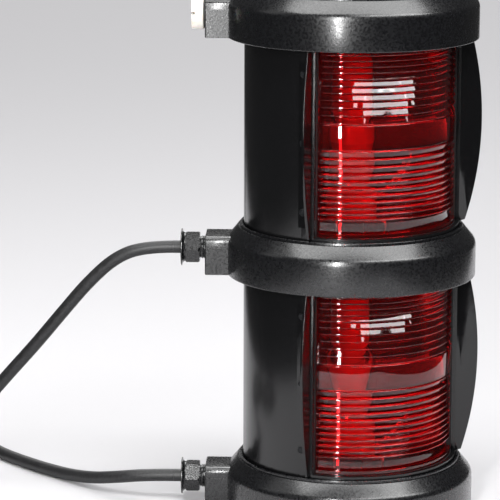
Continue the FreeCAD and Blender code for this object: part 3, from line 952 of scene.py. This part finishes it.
screen = {
    "angle": 57.5,
    "thickness": 0.0022,
    "inner": 0.0846,
    "low": 0.0406,
    "high": tierPitch - 0.0005,
    "topReach": 0.0935,
    "middleReach": 0.1014,
    "middleHeight": 0.115,
    "footReach": 0.0895,
    "footHeight": 0.042,
    "edge": 0.0005,
    "flange": 0.0015,
    "flangeAngle": 6.5,
    "flangeLow": 0.050,
    "flangeHigh": tierPitch - 0.010,
    "screwPlay": 0.0001,
}


def circleThrough(a, b, c):
    # centre of the circle through three points of a plane
    ax, ay = a
    bx, by = b
    cx, cy = c
    d = 2 * (ax * (by - cy) + bx * (cy - ay) + cx * (ay - by))
    aa, bb, cc = (x ** 2 + y ** 2 for x, y in (a, b, c))
    return ((aa * (by - cy) + bb * (cy - ay) + cc * (ay - by)) / d,
            (aa * (cx - bx) + bb * (ax - cx) + cc * (bx - ax)) / d)


def makeScreen(tier, side, level, body):
    s = screen
    head = (s["topReach"], s["high"])
    belly = (s["middleReach"], s["middleHeight"])
    toe = (s["footReach"], s["footHeight"])
    middle = circleThrough(head, belly, toe)
    radius = math.dist(middle, belly)
    first = math.degrees(math.atan2(toe[1] - middle[1], toe[0] - middle[0]))
    last = math.degrees(math.atan2(head[1] - middle[1], head[0] - middle[0]))
    outline = [(s["inner"], s["low"])] + arc(middle, radius, first, last, 40) + [(s["inner"], s["high"])]
    bm = bmesh.new()
    loop = [bm.verts.new((x, -s["thickness"] / 2, z)) for x, z in outline]
    face = bm.faces.new(loop)
    pulled = bmesh.ops.extrude_face_region(bm, geom=[face])
    far = [part for part in pulled["geom"] if isinstance(part, bmesh.types.BMVert)]
    bmesh.ops.translate(bm, vec=(0, s["thickness"], 0), verts=far)
    bmesh.ops.recalc_face_normals(bm, faces=bm.faces[:])

    def rim(edge):
        a, b = (v.co for v in edge.verts)
        return abs(a.y - b.y) < close and max(a.x, b.x) > s["inner"] + close

    roundEdges(bm, rim, s["edge"], 3)
    turn = math.degrees(lensFront) + side * s["angle"]
    flange = sectorTool(s["inner"], s["inner"] + s["flange"], s["flangeLow"], s["flangeHigh"],
                        turn + side * s["flangeAngle"] / 2, s["flangeAngle"] / 2, 16)
    moved(bm, turnZ(math.radians(turn)))
    tools = [("UNION", flange)]
    screwTurn = lensFront + side * math.radians(housing["screwAngle"])
    for height in housing["screwHeights"]:
        hole = rodX(housing["screwHole"] + s["screwPlay"], s["inner"] - 5 * past, s["inner"] + 5 * past,
                    height, 20)
        tools.append(("DIFFERENCE", moved(hole, turnZ(screwTurn))))
    label = "left" if side < 0 else "right"
    piece = carved(bm, tier + "_" + label + "_screen", tools)
    return finishPiece(piece, level, body, "housing_plastic", tier + "_screen_" + label, material=screenLook)


# glands and plug

gland = {
    "neck": 0.009,
    "threadDepth": 0.0006,
    "threadPitch": 0.0015,
    "threadShort": 0.002,     # it ends this far before the hexagon
    "start": 0.102,
    "hexStart": 0.1192,
    "hexEnd": 0.1302,
    "hexAcross": 0.022,
    "bellEnd": 0.1338,
    "bellRadius": 0.0146,
    "bellRoot": 0.0112,
    "bellRim": 0.0009,
    "core": 0.0097,           # inside the hexagon
    "bore": 0.0056,
    "mouth": 0.0098,
    "mouthDepth": 0.006,
    "round": 0.0004,
    "chamfer": 0.93,          # shares of the hexagon's corner radius
    "chamferReach": 1.01,
    "chamferBack": 0.0014,
    "chamferFront": 0.0008,
}


def makeGlandScrew(tier, level, body):
    # turned part: thread neck, trumpet and bore; the hexagon is joined to it
    g = gland
    root = g["neck"] - g["threadDepth"]
    pitch = g["threadPitch"]
    outline = [(g["bore"], g["start"]), (root, g["start"])]
    for i in range(int((g["hexStart"] - g["start"] - g["threadShort"]) / pitch)):
        low = g["start"] + g["threadDepth"] + i * pitch
        outline += [(root, low), (g["neck"], low + pitch * 0.4), (g["neck"], low + pitch * 0.6)]
    outline += [(root, g["hexStart"] - past), (root, g["hexStart"] + past)]
    outline += [(g["core"], g["hexStart"] + 2 * past), (g["core"], g["hexEnd"] - past)]
    rise = g["bellEnd"] - g["hexEnd"] - g["bellRim"]
    for i in range(7):
        # the trumpet flares in a quarter of an ellipse
        angle = math.radians(90 * i / 6)
        outline.append((g["bellRoot"] + (g["bellRadius"] - g["bellRoot"]) * (1 - math.cos(angle)),
                        g["hexEnd"] + rise * math.sin(angle)))
    soft = g["round"]
    outline += arc((g["bellRadius"] - soft, g["bellEnd"] - soft), soft, 0, 90, 3)
    for i in range(6):
        # bell mouth that the cable leaves through
        angle = math.radians(90 * i / 5)
        outline.append((g["mouth"] - (g["mouth"] - g["bore"]) * math.sin(angle),
                        g["bellEnd"] - g["mouthDepth"] * (1 - math.cos(angle))))
    corner = g["hexAcross"] / math.sqrt(3)
    hexagon = bmesh.new()
    bmesh.ops.create_cone(hexagon, cap_ends=True, segments=6, radius1=corner, radius2=corner,
                          depth=g["hexEnd"] - g["hexStart"])
    moved(hexagon, lifted((g["hexEnd"] + g["hexStart"]) / 2))
    chamfer = corner * g["chamfer"]
    beyond = corner * g["chamferReach"]
    trim = latheOpen([(0, g["hexStart"]), (chamfer, g["hexStart"]),
                      (beyond, g["hexStart"] + g["chamferBack"]), (beyond, g["hexEnd"] - g["chamferFront"]),
                      (chamfer, g["hexEnd"]), (0, g["hexEnd"])])
    trimmed = carvedShape(hexagon, [("INTERSECT", trim)])
    hole = latheOpen([(0, g["hexStart"] - 2 * past), (g["bore"], g["hexStart"] - 2 * past),
                      (g["bore"], g["hexEnd"] + 2 * past), (0, g["hexEnd"] + 2 * past)])
    piece = carved(lathe(outline, steps=64), tier + "_gland_nut", [("UNION", trimmed), ("DIFFERENCE", hole)])
    piece.data.transform(turnZ(glandAngle) @ alongX(ring["glandHeight"]))
    return finishPiece(piece, level, body, slotOf[tier + "_gland_screw"], tier + "_gland_screw")


plug = {
    "radius": 0.014,
    "start": 0.1159,
    "end": 0.1254,
    "round": 0.0012,
    "edge": 0.0004,
    "lead": 0.0008,           # chamfer where the thread starts
    "slotHalf": 0.0012,
    "slotDepth": 0.003,
}


def makePlug(level):
    p = plug
    g = gland
    soft = p["round"]
    outline = [(0, g["start"]), (g["neck"] - p["lead"], g["start"]), (g["neck"], g["start"] + p["lead"])]
    outline += [(g["neck"], p["start"]), (p["radius"] - p["edge"], p["start"])]
    outline += [(p["radius"], p["start"] + p["edge"])]
    outline += arc((p["radius"] - soft, p["end"] - soft), soft, 0, 90, 5)
    outline.append((0, p["end"]))
    head = latheOpen(outline, 96)
    reach = p["radius"] + past
    slotCut = block((-reach, -p["slotHalf"], p["end"] - p["slotDepth"]),
                    (reach, p["slotHalf"], p["end"] + past))
    turned = Matrix.Rotation(math.pi / 2, 4, "Z")
    piece = carved(head, "blanking_plug_body", [("DIFFERENCE", moved(slotCut, turned))])
    piece.data.transform(turnZ(glandAngle) @ alongX(ring["glandHeight"]))
    return finishPiece(piece, level, "plug", "nylon", "blanking_plug")


# top cover

cover = {
    "radius": 0.0845,
    "low": 0.0243,
    "crown": 0.0565,
    "sag": 0.009,
    "round": 0.0035,
    "wall": 0.003,
    "capSteps": 16,
    "liningSteps": 12,
}


def makeCover(level):
    c = cover
    ball = (c["radius"] ** 2 + c["sag"] ** 2) / (2 * c["sag"])
    shoulder = c["crown"] - c["sag"]
    rim = c["radius"]
    inner = rim - c["wall"]
    soft = c["round"]
    outline = []
    for i in range(c["liningSteps"] + 1):
        reach = inner * i / c["liningSteps"]
        outline.append((reach, c["crown"] - ball + math.sqrt((ball - c["wall"]) ** 2 - reach ** 2)))
    outline += [(inner, c["low"]), (rim, c["low"]), (rim, shoulder - soft)]
    outline += arc((rim - soft, shoulder - soft), soft, 15, 75, 4)
    for i in range(1, c["capSteps"] + 1):
        reach = (rim - soft) * (1 - i / c["capSteps"])
        outline.append((reach, c["crown"] - ball + math.sqrt(ball ** 2 - reach ** 2)))
    piece = carved(latheOpen(outline, 240), "top_cover_moulding", bayonetLugs(rim))
    return finishPiece(piece, level, "cover", "housing_plastic", "top_cover")


for tier, level, ringBody, housingBody in tiers:
    makeHousing(tier, level, housingBody)
    makeLens(tier, level, housingBody)
    makeScreen(tier, -1, level, housingBody)
    makeScreen(tier, 1, level, housingBody)
    makeGlandScrew(tier, level, tier + "_gland_nut")
    print(tier, "tier made")
makePlug(2 * tierPitch)
makeCover(2 * tierPitch)
print("plug and cover made")


# ties round the coils

tie = {
    "places": (60, 190),      # degrees along the coil where all its turns lie together
    "width": 0.0046,
    "thickness": 0.0009,
    "press": 0.0002,          # how far it bites into the sheath
    "steps": 36,
    "head": (0.0075, 0.0062, 0.0040),
    "headRound": 0.0009,
    "headAt": 38,             # degrees up from the outer side
    "floorGap": 0.0001,
}


def tieLine():
    # a line stretched round the outer, inner and top turns, seen along them
    sheath = cable["diameter"] / 2 - tie["press"]
    turns = ((coil["outer"], coil["floorHeight"]), (coil["inner"], coil["floorHeight"]),
             (coil["top"], coil["topHeight"]))
    points = []
    for i in range(tie["steps"]):
        angle = 2 * math.pi * i / tie["steps"]
        direction = Vector((math.cos(angle), math.sin(angle)))
        farthest = max(turns, key=lambda turn: direction.dot(Vector(turn)))
        points.append(Vector(farthest) + direction * sheath)
    return points


def makeTie(tier, body, place):
    t = tie
    lowest = t["floorGap"] + t["thickness"]
    bm = bmesh.new()
    loop = [bm.verts.new((across, -t["width"] / 2, max(height, lowest))) for across, height in tieLine()]
    edges = [bm.edges.new(pair) for pair in zip(loop, loop[1:] + loop[:1])]
    pulled = bmesh.ops.extrude_edge_only(bm, edges=edges)
    far = [part for part in pulled["geom"] if isinstance(part, bmesh.types.BMVert)]
    bmesh.ops.translate(bm, vec=(0, t["width"], 0), verts=far)
    tidyNormals(bm)
    bmesh.ops.solidify(bm, geom=bm.faces[:], thickness=-t["thickness"])
    length, width, height = t["head"]
    head = block((-length / 2, -width / 2, -height / 2), (length / 2, width / 2, height / 2))
    roundEdges(head, lambda edge: True, t["headRound"])
    lean = math.radians(t["headAt"])
    edge = Vector((coil["outer"], 0, coil["floorHeight"]))
    out = Vector((math.cos(lean), 0, math.sin(lean))) * (cable["diameter"] / 2 + height / 2)
    moved(head, Matrix.Rotation(math.pi / 2 - lean, 4, "Y"), Matrix.Translation(edge + out))
    piece = carved(bm, tier + "_coil_tie_" + str(place), [("UNION", head)])
    direction = math.radians(cable[tier + "Start"] + place)
    centre = Vector((*cable[tier + "Coil"], 0))
    piece.data.transform(turnZ(glandAngle) @ Matrix.Translation(centre) @ turnZ(direction))
    return finishPiece(piece, 0, body, "nylon")


# each cord's cores and the ties round its coil, gathered in a list

for tier, level, ringBody, housingBody in tiers:
    onCable = [nodes[tier + "_cable_cores"]]
    onCable += [makeTie(tier, ringBody, place) for place in tie["places"]]
print("coils tied")


# floor and light

stage = {
    "floor": "#c1c0c2",
    "nearEdge": 0.80,     # the board under the object ends this far in front of it
    "farEdge": 5.0,
    "nearHalf": 0.48,     # half its width at each end
    "farHalf": 0.90,
    "reach": 9.0,         # the floor round it
    "surround": 0.05,     # light of the room in reflections
    "backdrop": "#d5d4d7",
}


def levelPiece(name, corners, faces, look):
    bm = bmesh.new()
    verts = [bm.verts.new((along, across, 0)) for along, across in corners]
    for face in faces:
        bm.faces.new([verts[i] for i in face])
    moved(bm, turnZ(facing))
    bm.normal_update()
    for face in bm.faces:
        if face.normal.z < 0:
            face.normal_flip()
    piece = meshObject(bm, name)
    piece.data.materials.append(look)
    return piece


def makeFloor():
    look, tree = newMaterial("matte_painted_board")
    finished(look, {"Base Color": colour(stage["floor"]), "Roughness": 1.0, "Specular IOR Level": 0.0}, {})
    near, far = stage["nearHalf"], stage["farHalf"]
    front, back = stage["nearEdge"], -stage["farEdge"]
    board = ((back, -far), (back, far), (front, near), (front, -near))
    levelPiece("floor", board, ((0, 1, 2, 3),), look)
    reach = stage["reach"]
    rim = ((-reach, -reach), (-reach, reach), (reach, reach), (reach, -reach))
    sides = [(i, (i + 1) % 4, (i + 1) % 4 + 4, i + 4) for i in range(4)]
    outside = levelPiece("floor_around", board + rim, sides, look)
    # left out of reflections and bounced light, where so wide a floor would brighten every black side
    outside.visible_glossy = False
    outside.visible_diffuse = False


lamps = {
    # degrees round the object, degrees up, metres away, metres to its side, width, height, watts
    "key": (261.6, 45.3, 4.4, 1.19, 3.84, 0.50, 56),
    "keyTop": (261.6, 51.8, 4.4, 1.30, 5.4, 0.55, 88),
    "overhead": (236, 79.5, 1.93, 0.1, 3.1, 1.0, 60),
    "strip": (221, 14.7, 1.6, 0.0, 0.085, 1.2, 30),
    "left": (150, 35, 2.2, 0.0, 0.8, 1.0, 1.5),
    "back": (54, 45, 8.0, 0.0, 5.5, 4.4, 450),
}


def makeLamp(name, azimuth, elevation, distance, sideways, width, height, watts):
    data = bpy.data.lights.new(name, "AREA")
    data.shape = "RECTANGLE"
    data.size = width
    data.size_y = height
    data.energy = watts
    lamp = bpy.data.objects.new(name, data)
    target = Vector((0, 0, tierPitch * 1.2))
    flat = distance * math.cos(math.radians(elevation))
    rise = distance * math.sin(math.radians(elevation))
    lamp.location = target + aroundAxis(flat, math.radians(azimuth), rise)
    lamp.rotation_mode = "QUATERNION"
    lamp.rotation_quaternion = (target - lamp.location).to_track_quat("-Z", "Y")
    # aimed first and shifted after, so that a lamp to one side keeps its plane
    lamp.location += aroundAxis(sideways, math.radians(azimuth) + math.pi / 2, 0)
    bpy.context.scene.collection.objects.link(lamp)


def makeRoom():
    world = bpy.data.worlds.new("room")
    bpy.context.scene.world = world
    world.use_nodes = True
    tree = world.node_tree
    tree.nodes.clear()
    seen = addNode(tree, "ShaderNodeBackground", {"Color": colour(stage["backdrop"]), "Strength": 1.0})
    felt = addNode(tree, "ShaderNodeBackground", {"Color": (1, 1, 1, 1), "Strength": stage["surround"]})
    path = addNode(tree, "ShaderNodeLightPath")
    mix = addNode(tree, "ShaderNodeMixShader", None,
                  {0: (path, "Is Camera Ray"), 1: (felt, "Background"), 2: (seen, "Background")})
    addNode(tree, "ShaderNodeOutputWorld", None, {"Surface": (mix, "Shader")})
    bpy.context.scene.view_settings.view_transform = "Standard"


makeFloor()
makeRoom()
for name, settings in lamps.items():
    makeLamp(name, *settings)
print("stage lit")
